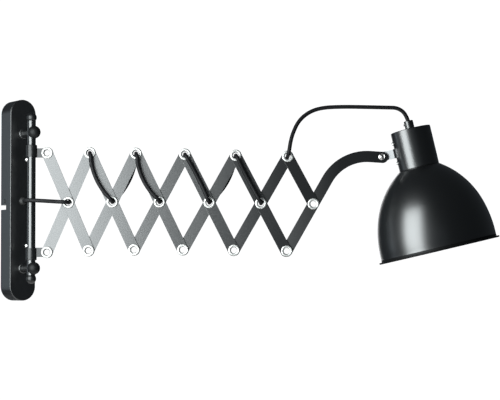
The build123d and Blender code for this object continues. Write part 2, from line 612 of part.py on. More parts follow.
def cord():
    total, tightest = 0.0, []
    for i, (bow, height) in FRONT_LOOPS.items():
        solid, length, radius = tube(strand(upper[i], middle[i], bow, height, True))
        add_on_arm(f"cord_front_{i}", solid)
        total += length
        tightest.append(radius)
    for i, (bow, height) in BACK_LOOPS.items():
        top = middle[i] + lean(rising_lean[i], BAR_HALF)
        solid, length, radius = tube(strand(middle[i], top, bow, height, False))
        add_on_arm(f"cord_back_{i}", solid)
        total += length
        tightest.append(radius)

    start = (ARM.inverse() * Pos(0, FACE_Y - PLATE_GLAND, 0)).position
    straight = (ARM.inverse() * Pos(0, FACE_Y - PLATE_GLAND - INLET_STRAIGHT, 0)).position
    reach = middle[0].X
    ending = [(reach - SHOULDER, EYELET_CREST - INLET_EASE), (reach - EYELET_TURN, EYELET_CREST)]
    ending += [(reach, EYELET_EXIT), (reach, CORD_GAP)]
    route = [start, straight]
    for x, forward in INLET_ROUTE + ending:
        route.append(Vector(x, -forward, middle[0].Z * (x - straight.X) / (reach - straight.X)))
    solid, length, radius = tube(route)
    add_on_arm("cord_inlet", solid)
    total += length
    tightest.append(radius)

    above = ARM.inverse() * SHADE * Pos(0, 0, CAP_LENGTH + GLAND_HEIGHT + ARC_STRAIGHT)
    inside = ARM.inverse() * SHADE * Pos(0, 0, CAP_LENGTH + GLAND_HEIGHT - ARC_INSIDE)
    route = [upper[-1] + Vector(0, -CORD_GAP, 0), upper[-1] + Vector(0, -EYELET_EXIT, 0)]
    for x, z, forward in ARC_ROUTE:
        route.append(upper[-1] + Vector(x, -forward, z))
    route += [above.position, inside.position]
    solid, length, radius = tube(route)
    add_on_arm("cord_arc", solid)
    total += length
    tightest.append(radius)

    gland = lathe(
        (CORD_R + 2 * FIT, -COVER_WALL),
        (CORD_R + 1.8 * COVER_WALL, -COVER_WALL),
        (CORD_R + 1.8 * COVER_WALL, 0),
        (PLATE_GLAND_R + 1, 0),
        (PLATE_GLAND_R, 0.5 * PLATE_GLAND),
        (CORD_R + 1, PLATE_GLAND),
        (CORD_R + 2 * FIT, PLATE_GLAND),
    )
    add("plate_gland", Pos(0, FACE_Y, 0) * Rot(90, 0, 0) * gland)
    block_end = TERMINAL_Z - TERMINAL[2] / 2
    depth = -STRIP_THICK - TERMINAL[1] / 2
    rise = block_end / 2 - CORD_R
    turn = depth - rise
    tail = [(0, FACE_Y - PLATE_GLAND, 0), (0, turn, 0), (0, depth, rise), (0, depth, block_end)]
    solid, length, radius = tube(tail)
    add("cord_tail", solid)
    total += length
    tightest.append(radius)
    print(f"cord length {total:.0f} mm, smallest arc {min(tightest):.1f} mm")


wall_box()
rod_and_posts()
lattice()
end_arm()
tilt_joint()
cap_and_gland()
holder_and_shade()
cord()

os.makedirs("parts", exist_ok=True)
for name, shape in nodes.items():
    export_step(shape, f"parts/{name}.step")
for name, pivots in (("lower", lower), ("middle", middle), ("upper", upper), ("tip", [tip])):
    for at in pivots:
        spot = (ARM * Pos(at)).position
        print(f"{name} {spot.X:.2f} {spot.Y:.2f} {spot.Z:.2f}")
print("cap mouth", SHADE.position)
print(len(nodes), "nodes")
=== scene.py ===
# %% [markdown]
# # An accordion wall lamp
# A slim wall box carries an upright rod. Two sleeves turn on the rod and hold a lattice of flat steel
# bars that opens and closes like scissors, and the last bar runs on as a curved arm with a bell shade.
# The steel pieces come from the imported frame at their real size. Here they get their finishes, and the
# soft and turned pieces, such as the cord, the rivets and the shade, are modelled anew.

# %% The frame
import bpy
import json
from math import atan, cos, degrees, hypot, pi, radians, sin
from mathutils import Matrix, Vector


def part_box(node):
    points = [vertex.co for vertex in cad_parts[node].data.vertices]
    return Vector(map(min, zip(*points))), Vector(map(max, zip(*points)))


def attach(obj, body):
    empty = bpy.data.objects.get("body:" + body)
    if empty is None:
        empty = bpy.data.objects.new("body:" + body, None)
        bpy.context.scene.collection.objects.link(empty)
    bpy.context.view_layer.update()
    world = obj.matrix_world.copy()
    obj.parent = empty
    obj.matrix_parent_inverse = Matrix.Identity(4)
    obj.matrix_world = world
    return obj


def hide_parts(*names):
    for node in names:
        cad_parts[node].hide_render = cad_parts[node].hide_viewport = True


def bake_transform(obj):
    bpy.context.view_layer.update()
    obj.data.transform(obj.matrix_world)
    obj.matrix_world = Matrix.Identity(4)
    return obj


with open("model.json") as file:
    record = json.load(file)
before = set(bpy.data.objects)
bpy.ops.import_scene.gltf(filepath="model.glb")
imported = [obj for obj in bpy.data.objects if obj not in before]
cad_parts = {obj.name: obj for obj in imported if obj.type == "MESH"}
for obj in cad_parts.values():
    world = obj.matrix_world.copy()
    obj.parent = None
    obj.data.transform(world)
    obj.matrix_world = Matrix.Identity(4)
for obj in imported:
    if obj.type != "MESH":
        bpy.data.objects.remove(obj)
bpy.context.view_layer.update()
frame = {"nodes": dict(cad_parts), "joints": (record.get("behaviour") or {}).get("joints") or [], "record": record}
nodes = frame["nodes"]

# %% [markdown]
# ## Directions of the arm
# The arm was photographed swung to one side, so its plane is turned from the wall. Places on the lamp
# could be given in the room's own axes, but every one of them is easier to say in the arm's directions:
# along the arm, up, and towards the viewer. The pivots are read from the frame's joints, so nothing has
# to be measured twice.

# %% Directions and pivots
joints = {joint["name"]: joint for joint in frame["joints"]}
pivots = {name: Vector(joint["pos_m"]) for name, joint in joints.items()}
VIEWER = Vector(joints["fold"]["axis"]).normalized()
UP = Vector((0, 0, 1))
ALONG = UP.cross(-VIEWER).normalized() * -1
rod_low, rod_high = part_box("wall_rod")
ROD = Vector(((rod_low.x + rod_high.x) / 2, (rod_low.y + rod_high.y) / 2, 0))


def on_arm(along, up, viewer=0.0):
    """A point of the arm's frame, whose origin is on the rod's axis, in metres."""
    return ROD + ALONG * along + UP * up + VIEWER * viewer


print("along the arm", [round(v, 3) for v in ALONG], "to the viewer", [round(v, 3) for v in VIEWER])

# %% [markdown]
# ## Camera
# The photograph looks squarely at the arm's plane, from a little over two metres, and from slightly
# below the arm, because the shade's rim shows exactly edge on. A camera that is only tilted up would
# make the upright rod lean. So about half of the height comes from a small tilt and the rest from the
# lens shift, which keeps upright lines upright.

# %% Camera
FRAME_WIDTH = 0.750  # of the arm's plane, across the picture
FRAME_CENTRE = (0.3285, 0.0005)  # along and up, in the middle of the picture
DISTANCE = 2.25
CAMERA_DROP = 0.134  # camera below the middle of the picture
SHIFT = 0.095
SENSOR = 36.0

centre = on_arm(*FRAME_CENTRE)
bpy.ops.object.camera_add()
camera = bpy.context.object
camera.name = "camera"
camera.data.sensor_width = SENSOR
camera.data.lens = SENSOR * DISTANCE / FRAME_WIDTH
camera.data.shift_y = SHIFT
camera.location = centre - UP * CAMERA_DROP + VIEWER * DISTANCE
tilt = atan(CAMERA_DROP / DISTANCE) - atan(SHIFT * FRAME_WIDTH / DISTANCE)
look = -VIEWER * cos(tilt) + UP * sin(tilt)
camera.rotation_mode = "QUATERNION"
camera.rotation_quaternion = look.to_track_quat("-Z", "Y")
bpy.context.scene.camera = camera
print("lens", round(camera.data.lens, 1), "mm, tilted up", round(degrees(tilt), 2), "degrees")

# %% [markdown]
# ## Light
# Black lamps are photographed with few, large and soft lights. A ring of small lamps would put a bright
# dot on every curve, so one large soft box stands to the left instead. It gives the long highlight on the
# shade, and it fades over the flat bars from left to right. A very dim panel stands by the camera, and a
# card at the far left lights the narrow sides. The right side stays dim, because black paint mirrors it.

# %% Lights
bpy.context.scene.view_settings.view_transform = "Standard"


def soft_box(name, place, aim, size, radiance, colour):
    """A rectangular lamp whose brightness is given as the colour value that it would show itself."""
    width, height = size
    data = bpy.data.lights.new(name, "AREA")
    data.shape = "RECTANGLE"
    data.size = width
    data.size_y = height
    data.energy = radiance * width * height * pi
    data.color = colour
    lamp = bpy.data.objects.new(name, data)
    bpy.context.scene.collection.objects.link(lamp)
    lamp.location = place
    lamp.rotation_mode = "QUATERNION"
    lamp.rotation_quaternion = (aim - place).to_track_quat("-Z", "Y")
    lamp.visible_camera = False
    print(name, "is", round(width, 2), "by", height, "m")


DIM_COLOUR = (0.78, 0.90, 1.0)
KEY_COLOUR = (0.93, 0.99, 1.0)
KEY_RIGHT = on_arm(0.06, 0.09, 0.83)  # the soft box's right edge, just out of the picture
KEY_LEFT = on_arm(-0.75, 0.09, 0.52)
KEY_HEIGHT = 1.00
KEY_RADIANCE = 7.6
FILL_PLACE = on_arm(0.33, 0.15, 2.60)  # beside the camera
FILL_SIZE = (1.60, 1.20)
FILL_RADIANCE = 0.08
CARD_PLACE = on_arm(-2.00, 0.0, -0.55)  # far left and a little behind the arm
CARD_AIM = on_arm(0.0, 0.0, -0.30)
CARD_SIZE = (0.80, 1.20)
CARD_RADIANCE = 0.80

key_edge = KEY_RIGHT - KEY_LEFT
key_middle = (KEY_RIGHT + KEY_LEFT) / 2
key_aim = key_middle - key_edge.cross(UP)
soft_box("key", key_middle, key_aim, (key_edge.length, KEY_HEIGHT), KEY_RADIANCE, KEY_COLOUR)
soft_box("fill", FILL_PLACE, centre, FILL_SIZE, FILL_RADIANCE, DIM_COLOUR)
soft_box("card_left", CARD_PLACE, CARD_AIM, CARD_SIZE, CARD_RADIANCE, DIM_COLOUR)

# %% [markdown]
# The room around the lamp is dim for everything but the camera. A white world would be simpler, but black
# paint would mirror it from all sides and turn grey.

# %% Room
ROOM_GLOW = 0.05

world = bpy.data.worlds.new("studio")
bpy.context.scene.world = world
world.use_nodes = True
room_nodes = world.node_tree.nodes
room_links = world.node_tree.links
room_nodes.clear()
room_out = room_nodes.new("ShaderNodeOutputWorld")
mix = room_nodes.new("ShaderNodeMixShader")
dim = room_nodes.new("ShaderNodeBackground")
dim.inputs["Color"].default_value = (*DIM_COLOUR, 1)
dim.inputs["Strength"].default_value = ROOM_GLOW
white = room_nodes.new("ShaderNodeBackground")
white.inputs["Color"].default_value = (1, 1, 1, 1)
white.inputs["Strength"].default_value = 1.0
rays = room_nodes.new("ShaderNodeLightPath")
room_links.new(rays.outputs["Is Camera Ray"], mix.inputs["Fac"])
room_links.new(dim.outputs["Background"], mix.inputs[1])
room_links.new(white.outputs["Background"], mix.inputs[2])
room_links.new(mix.outputs["Shader"], room_out.inputs["Surface"])
print("the room glows at", ROOM_GLOW)

# %% [markdown]
# ## Floor and backdrop
# The lamp hangs on a wall, so the floor lies well below it. Bright lamps on white paper would give a white
# ground too, but they would also grey the black paint. So the floor and the sheet behind the lamp glow
# white for the camera and for what the nickel mirrors. The floor's glow only tops up the light that falls
# on it, so it still takes the lamp's shadow.

# %% Floor and backdrop
FLOOR_PLACE = on_arm(0.3, -1.60, 0.0)
FLOOR_SIZE = 4.0
FLOOR_GLOW = 0.93
SHEET_PLACE = on_arm(0.33, 0.35, -6.0)
SHEET_SIZE = 3.4
SHEET_GLOW = 1.0


def white_sheet(name, strength):
    """White paint with a glow for camera, mirror and glass rays; below 1 it only adds to the paint."""
    material = bpy.data.materials.new(name)
    material.use_nodes = True
    tree = material.node_tree
    tree.nodes.clear()
    out = tree.nodes.new("ShaderNodeOutputMaterial")
    path = tree.nodes.new("ShaderNodeLightPath")
    seen = tree.nodes.new("ShaderNodeMath")
    seen.operation = "MAXIMUM"
    seen_through = tree.nodes.new("ShaderNodeMath")
    seen_through.operation = "MAXIMUM"
    tree.links.new(path.outputs["Is Camera Ray"], seen.inputs[0])
    tree.links.new(path.outputs["Is Glossy Ray"], seen.inputs[1])
    tree.links.new(seen.outputs[0], seen_through.inputs[0])
    tree.links.new(path.outputs["Is Transmission Ray"], seen_through.inputs[1])
    paint = tree.nodes.new("ShaderNodeBsdfDiffuse")
    paint.inputs["Color"].default_value = (0.8, 0.8, 0.8, 1)
    glow = tree.nodes.new("ShaderNodeEmission")
    glow.inputs["Strength"].default_value = strength
    lit = tree.nodes.new("ShaderNodeAddShader")
    tree.links.new(paint.outputs[0], lit.inputs[0])
    tree.links.new(glow.outputs[0], lit.inputs[1])
    blend = tree.nodes.new("ShaderNodeMixShader")
    tree.links.new(seen_through.outputs[0], blend.inputs["Fac"])
    tree.links.new(paint.outputs[0], blend.inputs[1])
    tree.links.new(lit.outputs[0], blend.inputs[2])
    tree.links.new(blend.outputs[0], out.inputs["Surface"])
    return material


bpy.ops.mesh.primitive_plane_add(size=FLOOR_SIZE, location=FLOOR_PLACE)
floor = bpy.context.object
floor.name = "floor"
floor.data.materials.append(white_sheet("floor_white", FLOOR_GLOW))
bpy.ops.mesh.primitive_plane_add(size=SHEET_SIZE, location=SHEET_PLACE)
sheet = bpy.context.object
sheet.name = "backdrop"
sheet.rotation_mode = "QUATERNION"
sheet.rotation_quaternion = VIEWER.to_track_quat("Z", "Y")
sheet.data.materials.append(white_sheet("backdrop_white", SHEET_GLOW))
print("floor", round(-FLOOR_PLACE.z, 2), "m below the arm, backdrop", SHEET_SIZE, "m wide behind it")

# %% [markdown]
# ## Paint grain
# Satin paint and plating are never quite even: a fine orange peel breaks up the highlight, and the
# gloss varies a little from place to place. Each finish could hold its own noise, but several share this,
# so it is one node group that puts out a faint tint, a roughness and a height for the bump.

# %% Grain group
def grain_group():
    """The node group that gives a finish its tint, its uneven gloss and its fine relief."""
    group = bpy.data.node_groups.new("grain", "ShaderNodeTree")
    sockets = group.interface
    for name in ("Scale", "Roughness", "Spread"):
        sockets.new_socket(name, in_out="INPUT", socket_type="NodeSocketFloat")
    for name in ("Dark", "Light"):
        sockets.new_socket(name, in_out="INPUT", socket_type="NodeSocketColor")
    sockets.new_socket("Color", in_out="OUTPUT", socket_type="NodeSocketColor")
    for name in ("Roughness", "Height"):
        sockets.new_socket(name, in_out="OUTPUT", socket_type="NodeSocketFloat")
    make = group.nodes.new
    link = group.links.new
    entry = make("NodeGroupInput")
    leave = make("NodeGroupOutput")
    place = make("ShaderNodeTexCoord")
    fine = make("ShaderNodeTexNoise")
    fine.inputs["Detail"].default_value = 2.0
    broad = make("ShaderNodeTexNoise")
    broad.inputs["Scale"].default_value = 18.0
    broad.inputs["Detail"].default_value = 3.0
    centred = make("ShaderNodeMath")
    centred.operation = "SUBTRACT"
    centred.inputs[1].default_value = 0.5
    varied = make("ShaderNodeMath")
    varied.operation = "MULTIPLY_ADD"
    tint = make("ShaderNodeMix")
    tint.data_type = "RGBA"
    link(place.outputs["Object"], fine.inputs["Vector"])
    link(place.outputs["Object"], broad.inputs["Vector"])
    link(entry.outputs["Scale"], fine.inputs["Scale"])
    link(broad.outputs["Fac"], centred.inputs[0])
    link(centred.outputs[0], varied.inputs[0])
    link(entry.outputs["Spread"], varied.inputs[1])
    link(entry.outputs["Roughness"], varied.inputs[2])
    link(broad.outputs["Fac"], tint.inputs["Factor"])
    link(entry.outputs["Dark"], tint.inputs["A"])
    link(entry.outputs["Light"], tint.inputs["B"])
    link(tint.outputs["Result"], leave.inputs["Color"])
    link(varied.outputs[0], leave.inputs["Roughness"])
    link(fine.outputs["Fac"], leave.inputs["Height"])
    return group


GRAIN = grain_group()
print("grain group has", len(GRAIN.nodes), "nodes")

# %% [markdown]
# A finish is the group and one shader. Its tint runs between a dark and a light colour, its roughness
# wanders by the spread, and the relief is a tenth of a millimetre times the bump. What is the same all over
# the surface, such as the coat, is set on the shader itself.

# %% Finish helper
RELIEF = 0.0001


def finish_of(name, dark, light, roughness, spread, grain, bump, **sockets):
    """A material whose colour, roughness and fine bump come from the grain group."""
    material = bpy.data.materials.new(name)
    material.use_nodes = True
    tree = material.node_tree
    shader = tree.nodes["Principled BSDF"]
    group = tree.nodes.new("ShaderNodeGroup")
    group.node_tree = GRAIN
    group.inputs["Scale"].default_value = grain
    group.inputs["Roughness"].default_value = roughness
    group.inputs["Spread"].default_value = spread
    group.inputs["Dark"].default_value = (*dark, 1)
    group.inputs["Light"].default_value = (*light, 1)
    relief = tree.nodes.new("ShaderNodeBump")
    relief.inputs["Distance"].default_value = RELIEF
    relief.inputs["Strength"].default_value = bump
    tree.links.new(group.outputs["Color"], shader.inputs["Base Color"])
    tree.links.new(group.outputs["Roughness"], shader.inputs["Roughness"])
    tree.links.new(group.outputs["Height"], relief.inputs["Height"])
    tree.links.new(relief.outputs["Normal"], shader.inputs["Normal"])
    for socket, value in sockets.items():
        shader.inputs[socket.replace("_", " ")].default_value = value
    return material


# %% [markdown]
# ## Black paints
# The bars have a satin black paint that mirrors the soft box over a wide, soft patch. The box is a little
# dimmer. The last two falling bars are dimmer too, a darker and duller copy of the paint that is painted
# shade for the cord's shadow on them. The shade and cap are glossier, and so is the rod. The brackets, the
# rod's ends, the ball nuts and the shade's rim are flatter.
# One paint for all would be simpler, but their highlights differ in the photograph, so each has its own.

# %% Black paints
PAINT = ((0.0045, 0.0048, 0.0052), (0.0070, 0.0075, 0.0082))  # its darkest and lightest tint
SATIN = finish_of("satin_black", *PAINT, roughness=0.36, spread=0.05, grain=900, bump=0.02,
                  Specular_IOR_Level=0.85, Coat_Weight=1.0, Coat_Roughness=0.31)
GLOSS = finish_of("shade_black", (0.0028, 0.0031, 0.0034), (0.0045, 0.0049, 0.0054),
                  roughness=0.31, spread=0.04, grain=700, bump=0.03,
                  Specular_IOR_Level=0.95, Coat_Weight=1.0, Coat_Roughness=0.30)
ROD_BLACK = finish_of("rod_black", *PAINT, roughness=0.20, spread=0.04, grain=900, bump=0.02,
                      Specular_IOR_Level=0.80, Coat_Weight=0.8, Coat_Roughness=0.20)
BOX_BLACK = finish_of("box_black", (0.0040, 0.0042, 0.0048), (0.0060, 0.0063, 0.0070),
                      roughness=0.33, spread=0.05, grain=900, bump=0.02,
                      Specular_IOR_Level=0.66, Coat_Weight=0.8, Coat_Roughness=0.31)
BRACKET_BLACK = finish_of("bracket_black", *PAINT, roughness=0.36, spread=0.06, grain=900, bump=0.03,
                          Specular_IOR_Level=0.40, Coat_Weight=0.25, Coat_Roughness=0.30)
BEAD_BLACK = finish_of("bead_black", (0.0030, 0.0032, 0.0035), (0.0050, 0.0053, 0.0057),
                       roughness=0.50, spread=0.06, grain=900, bump=0.03, Specular_IOR_Level=0.25)
# Painted shade: a darker, duller copy of the bar paint for the last falling bar, in place of the cord's shadow.
SHADED_BAR_BLACK = finish_of("shaded_bar_black", (0.0035, 0.0037, 0.0042), (0.0055, 0.0058, 0.0064),
                      roughness=0.31, spread=0.05, grain=900, bump=0.02,
                      Specular_IOR_Level=0.50, Coat_Weight=0.65, Coat_Roughness=0.30)
print("seven black paints")

# %% [markdown]
# ## Plating
# Rivets and screws are nickel plated, the tilt ear is zinc plated, and its almost white colour is a painted
# reflection. The rivets' rolled edges get a darker plating as painted shade. The rivets stand ever nearer to
# the soft box towards the wall, where bright plating would burn out, so each column of rivets has its own
# plating colour, a painted shade that is darkest at the wall and brightest at the arm.

# %% Plating
NICKEL = finish_of("nickel", (0.70, 0.69, 0.67), (0.80, 0.79, 0.77),
                   roughness=0.22, spread=0.10, grain=1200, bump=0.08, Metallic=1.0)
# Painted shade on the rivets' rolled rims and mouths, as a darker plating.
RIVET_EDGE_PAINTED_SHADE = finish_of("plated_edge_painted_shade", (0.16, 0.155, 0.15), (0.26, 0.25, 0.24),
                   roughness=0.40, spread=0.10, grain=1200, bump=0.05, Metallic=0.9)
# Painted reflection: the ear gets a near-white colour that stands in for the light its plating mirrors.
EAR_PAINTED_REFLECTION = finish_of("ear_white_painted_reflection", (0.90, 0.91, 0.92), (0.96, 0.96, 0.96),
                 roughness=0.32, spread=0.08, grain=1000, bump=0.05, Metallic=0.08)

COLUMNS = 6  # of rivets
# Painted shade: the rivets' plating colour goes from this level at the wall, nearest the soft box, to the last at
# the arm.
WALL_COLUMN_SHADE_LEVEL = 0.36  # plating of the first column
ARM_COLUMN_LEVEL = 0.86  # and of the last
RIVET_PLATING_PAINTED_SHADE = []
for column in range(COLUMNS):
    level = WALL_COLUMN_SHADE_LEVEL + (ARM_COLUMN_LEVEL - WALL_COLUMN_SHADE_LEVEL) * column / (COLUMNS - 1)
    dark = (level, level, 0.97 * level)
    light = (1.1 * level, 1.1 * level, 1.07 * level)
    RIVET_PLATING_PAINTED_SHADE.append(finish_of(f"plated_rivet_painted_shade_{column}", dark, light,
                            roughness=0.36, spread=0.10, grain=1200, bump=0.05, Metallic=0.75))
print(len(RIVET_PLATING_PAINTED_SHADE), "platings for the rivets")

# %% [markdown]
# ## Plastics
# The cord's sheath is a dull flexible plastic, the lamp holder is moulded black, and the terminal block
# is the usual pale nylon. Paint would look too wet here, so their mirror is weaker, and the two moulded
# plastics have a deeper relief.

# %% Plastics
SHEATH = finish_of("cord_black", (0.006, 0.006, 0.007), (0.010, 0.010, 0.011),
                   roughness=0.55, spread=0.06, grain=800, bump=0.03, Specular_IOR_Level=0.20)
MOULDED = finish_of("moulded_black", (0.012, 0.012, 0.012), (0.020, 0.020, 0.020),
                    roughness=0.50, spread=0.08, grain=1100, bump=0.20)
PALE_NYLON = finish_of("terminal_nylon", (0.62, 0.61, 0.56), (0.70, 0.69, 0.64),
                       roughness=0.45, spread=0.08, grain=600, bump=0.10)
print("three plastics")

# %% [markdown]
# ## Rubbed bars
# The photograph shows the outer rising bars and the arm more matt at the foot than at the top. Hands that
# pull the lattice open may have rubbed them, but that is a guess. The change could be painted by hand on the
# mesh, but a ramp along the arm follows the bars wherever they move, because it is measured on the piece.

# %% Rubbed bars
def rubbed(name, foot, top, roughness, coat_weight, coat_roughness, specular):
    """Black paint whose roughness and coat change evenly from a bar's foot to its top."""
    material = finish_of(name, *PAINT, roughness=roughness[0], spread=0.05, grain=900, bump=0.02,
                         Specular_IOR_Level=specular, Coat_Roughness=coat_roughness)
    tree = material.node_tree
    place = tree.nodes.new("ShaderNodeTexCoord")
    along = tree.nodes.new("ShaderNodeVectorMath")
    along.operation = "DOT_PRODUCT"
    along.inputs[1].default_value = ALONG
    tree.links.new(place.outputs["Object"], along.inputs[0])
    group = next(node for node in tree.nodes if node.type == "GROUP")
    shader = tree.nodes["Principled BSDF"]
    for socket, ends in ((group.inputs["Roughness"], roughness), (shader.inputs["Coat Weight"], coat_weight)):
        ramp = tree.nodes.new("ShaderNodeMapRange")
        ramp.inputs["From Min"].default_value = foot.dot(ALONG)
        ramp.inputs["From Max"].default_value = top.dot(ALONG)
        ramp.inputs["To Min"].default_value = ends[0]
        ramp.inputs["To Max"].default_value = ends[1]
        tree.links.new(along.outputs["Value"], ramp.inputs["Value"])
        tree.links.new(ramp.outputs["Result"], socket)
    return material


BEND_SHARE = 0.38  # of the way from the arm's last pivot to its tip, where it bends level
arm_bend = pivots["pivot_middle_5"].lerp(pivots["shade_tilt"], BEND_SHARE)
RUBBED_INNER = rubbed("rising_bar_3_black", pivots["pivot_top_3"], pivots["pivot_top_4"],
                      roughness=(0.44, 0.34), coat_weight=(1.0, 0.85), coat_roughness=0.37, specular=0.90)
RUBBED_OUTER = rubbed("rising_bar_4_black", pivots["pivot_top_4"], pivots["pivot_top_5"],
                      roughness=(0.42, 0.28), coat_weight=(1.0, 0.50), coat_roughness=0.34, specular=0.75)
RUBBED_ARM = rubbed("end_arm_black", pivots["pivot_top_5"], arm_bend,
                    roughness=(0.50, 0.27), coat_weight=(1.0, 0.17), coat_roughness=0.49, specular=0.72)
print("three rubbed finishes, the arm's from", round((pivots["pivot_top_5"] - ROD).dot(ALONG), 3),
      "to", round((arm_bend - ROD).dot(ALONG), 3), "m along")

# %% [markdown]
# Each steel piece takes the finish of its material in the frame's record, apart from those with a
# finish of their own.

# %% Finish of each frame piece
by_slot = {
    "black_paint": SATIN,
    "shade_black": GLOSS,
    "nickel": NICKEL,
    "cord_black": SHEATH,
    "holder_black": MOULDED,
    "terminal_white": PALE_NYLON,
}
by_piece = {
    "wall_cover": BOX_BLACK,
    "wall_rod": ROD_BLACK,
    "rod_finials": BRACKET_BLACK,
    "ball_nuts": BEAD_BLACK,
    "upper_bracket": BRACKET_BLACK,
    "lower_bracket": BRACKET_BLACK,
    # The last two falling bars take dimmer paints as painted shade for the cord's shadow on them.
    "falling_bar_4": BOX_BLACK,
    "falling_bar_5": SHADED_BAR_BLACK,
    "rising_bar_3": RUBBED_INNER,
    "rising_bar_4": RUBBED_OUTER,
    "end_arm": RUBBED_ARM,
    "tilt_ear": EAR_PAINTED_REFLECTION,
}
for part in frame["record"]["subparts"]:
    mesh = nodes[part["node"]].data
    mesh.materials.clear()
    mesh.materials.append(by_piece.get(part["node"], by_slot[part["material_slot"]]))
print(len(nodes), "frame pieces have their finish")

# %% [markdown]
# ## Hollow rivets
# Each pivot is a hollow rivet of matt nickel. Its flange is rolled over the bar, so the hole's mouth is
# rounded and the outer edge turns down. Both edges get a darker plating and the bore black paint, as painted
# shade. It could be cut from a cylinder with a second one, but that leaves sharp edges. So it is turned ring
# by ring from a circle, as on a lathe.

# %% Turning tool
SMOOTH_BELOW = radians(40)  # edges that turn by more than this stay sharp
SAME_POINT = 0.000005


def turned(name, rings, closed=True, sides=48):
    """A piece turned about Z: a circle pulled along its profile of (radius, height) rings."""
    bpy.ops.object.select_all(action="DESELECT")
    radius, height = rings[0]
    bpy.ops.mesh.primitive_circle_add(vertices=sides, radius=radius, location=(0, 0, 0))
    piece = bpy.context.object
    piece.name = name
    bpy.ops.object.mode_set(mode="EDIT")
    bpy.ops.mesh.select_all(action="SELECT")
    bpy.ops.transform.translate(value=(0, 0, height))
    for next_radius, next_height in rings[1:] + (rings[:1] if closed else []):
        bpy.ops.mesh.extrude_edges_move(TRANSFORM_OT_translate={"value": (0, 0, next_height - height)})
        growth = next_radius / radius
        bpy.ops.transform.resize(value=(growth, growth, 1), center_override=(0, 0, next_height))
        radius, height = next_radius, next_height
    if not closed:
        bpy.ops.mesh.select_all(action="SELECT")
        bpy.ops.mesh.select_non_manifold()
        bpy.ops.mesh.edge_face_add()
    bpy.ops.mesh.select_all(action="SELECT")
    bpy.ops.mesh.remove_doubles(threshold=SAME_POINT)
    bpy.ops.mesh.normals_make_consistent(inside=False)
    bpy.ops.object.mode_set(mode="OBJECT")
    bpy.ops.object.shade_smooth_by_angle(angle=SMOOTH_BELOW)
    print(name, "has", len(piece.data.polygons), "faces")
    return piece


FACE_VIEWER = VIEWER.to_track_quat("Z", "Y").to_matrix().to_4x4()  # turns a piece's Z to the viewer

# %% [markdown]
# The profile below is half of the rivet, from the middle of its shank over the flange and into the bore.
# The other half is its mirror image, so both flanges are sure to be alike.

# %% Rivet
rivet_low, rivet_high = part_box("rising_eyelet_0")
RIVET_R = (rivet_high.z - rivet_low.z) / 2
RIVET_BORE = 0.0045
RIVET_SHANK = 0.0051
RIVET_FLANGE = 0.0009
RIVET_HALF = 0.0026
MOUTH_R = 0.0047  # the bore's own wall lies inside this
PAINTED_SHADE_RIM = 0.0008

front_half = [
    (RIVET_SHANK, 0.0),
    (RIVET_SHANK, RIVET_HALF - RIVET_FLANGE),
    (RIVET_R - 0.00012, RIVET_HALF - RIVET_FLANGE),
    (RIVET_R, RIVET_HALF - 0.00060),
    (RIVET_R - 0.00010, RIVET_HALF - 0.00042),
    (RIVET_R - 0.00060, RIVET_HALF - 0.00025),
    (RIVET_R - 0.00100, RIVET_HALF - 0.00008),
    (0.0070, RIVET_HALF),
    (0.0062, RIVET_HALF - 0.00004),
    (0.0055, RIVET_HALF - 0.00020),
    (0.0049, RIVET_HALF - 0.00055),
    (RIVET_BORE, RIVET_HALF - 0.00110),
]
back_half = [(radius, -height) for radius, height in front_half[:0:-1]]
rivet = turned("rivet", front_half + back_half)
rivet.data.materials.append(RIVET_PLATING_PAINTED_SHADE[0])  # 0, the flange, which gets its column's plating in each copy
rivet.data.materials.append(RIVET_EDGE_PAINTED_SHADE)  # 1, its rim and its mouth
rivet.data.materials.append(BEAD_BLACK)  # 2, the bore
# Painted shade: faces in the bore get black paint, those at the rolled rim and the mouth the darker plating.
for face in rivet.data.polygons:
    out = hypot(face.center.x, face.center.y)
    if out < MOUTH_R:
        face.material_index = 2
    elif out > RIVET_R - PAINTED_SHADE_RIM or out < RIVET_SHANK:
        face.material_index = 1
rivet.data.transform(FACE_VIEWER)

# %% [markdown]
# One rivet is modelled and eighteen copies are placed: three to a column, at its upper, middle and lower
# pivot. Each copy has its own mesh, because each rides on another bar. The lower pivots aren't joints of
# their own, so those copies are placed on the frame's own rivets.

# %% Rivets in place
def place_rivet(name, place, body, node, column):
    """A copy of the rivet with its own mesh, its place baked in, in the plating and painted shade of its column.
    """
    copy = bpy.data.objects.new(name, rivet.data.copy())
    bpy.context.scene.collection.objects.link(copy)
    copy.data.transform(Matrix.Translation(place))
    copy.data.materials[0] = RIVET_PLATING_PAINTED_SHADE[column]
    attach(copy, body)
    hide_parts(node)


for i in range(COLUMNS):
    place_rivet(f"rivet_top_{i}", pivots[f"pivot_top_{i}"], f"falling_{i}", f"falling_eyelets_{i}", i)
    place_rivet(f"rivet_middle_{i}", pivots[f"pivot_middle_{i}"], f"falling_{i}", f"falling_eyelets_{i}", i)
    low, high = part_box(f"rising_eyelet_{i}")
    bar = f"rising_{i}" if i < COLUMNS - 1 else "end_arm"
    place_rivet(f"rivet_bottom_{i}", (low + high) / 2, bar, f"rising_eyelet_{i}", i)
bpy.data.objects.remove(rivet)
print(3 * COLUMNS, "rivets")

# %% [markdown]
# ## Shade, cap and tilt screw
# These three are turned too. The shade and the cap are modelled upright about Z, with their height running
# down into the shade, and then laid into the tilted head. Turning them in their tilted place would need a
# tilted axis for every ring. The cap's mouth, where the shade begins, is the zero of their heights, and it
# is found from the lamp holder's socket.

# %% Place of the shade
SOCKET_DEPTH = 0.020  # of the socket's mouth below the cap's mouth

